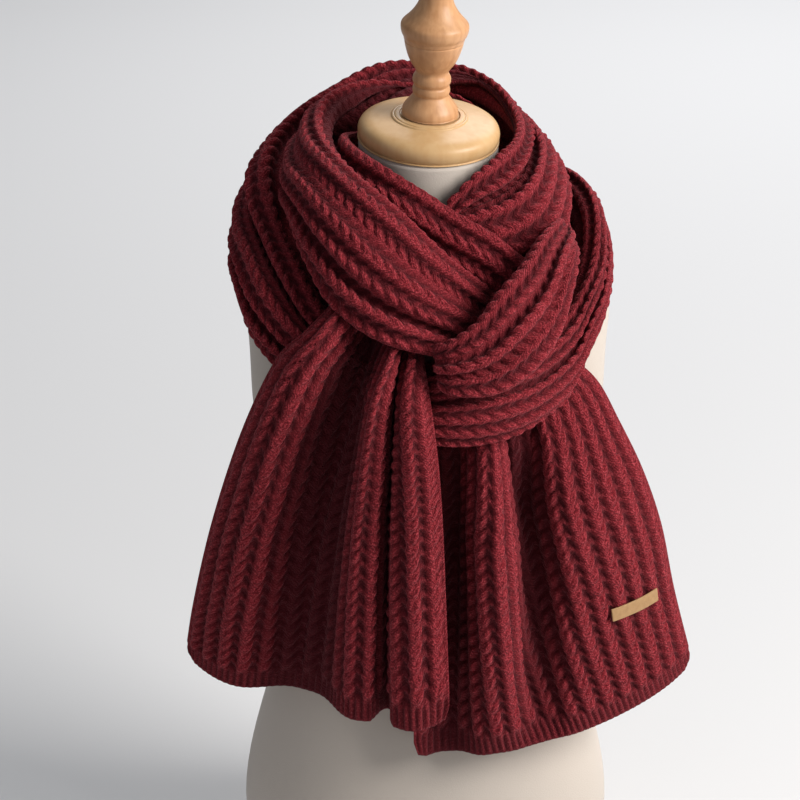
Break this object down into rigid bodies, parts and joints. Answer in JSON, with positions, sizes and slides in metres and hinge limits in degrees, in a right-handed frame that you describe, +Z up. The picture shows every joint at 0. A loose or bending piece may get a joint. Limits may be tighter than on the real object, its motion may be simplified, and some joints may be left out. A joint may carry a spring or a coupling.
{
  "type": "knit scarf on a dress form",
  "caption": "Chunky rib-knit scarf wound round the neck of a limbless dress form with a turned wooden cap and finial.",
  "frame": {"origin": "centre of the dress form's flat underside, on the surface that it stands on", "axes": "+Z up along the form, -Y towards the front where the tails hang, +X to the right as seen from the front"},
  "size_m": [0.4387, 0.3193, 0.8304],
  "materials": {
    "wool": "thick rib-knit burgundy wool with a soft matt nap",
    "form_cloth": "smooth off-white woven cover",
    "cap_wood": "satin turned maple",
    "finial_wood": "satin turned beech",
    "tan_leather": "smooth matt tan leather"
  },
  "bodies": {
    "root": {"left_tail": "wool", "right_tail": "wool", "upper_front_band": "wool", "inner_front_band": "wool", "right_collar_band": "wool", "knot_band": "wool", "outer_left_loop": "wool", "outer_right_loop": "wool", "leather_label": "tan_leather", "form_torso": "form_cloth", "neck_cap": "cap_wood", "finial": "finial_wood"}
  },
  "joints": []
}
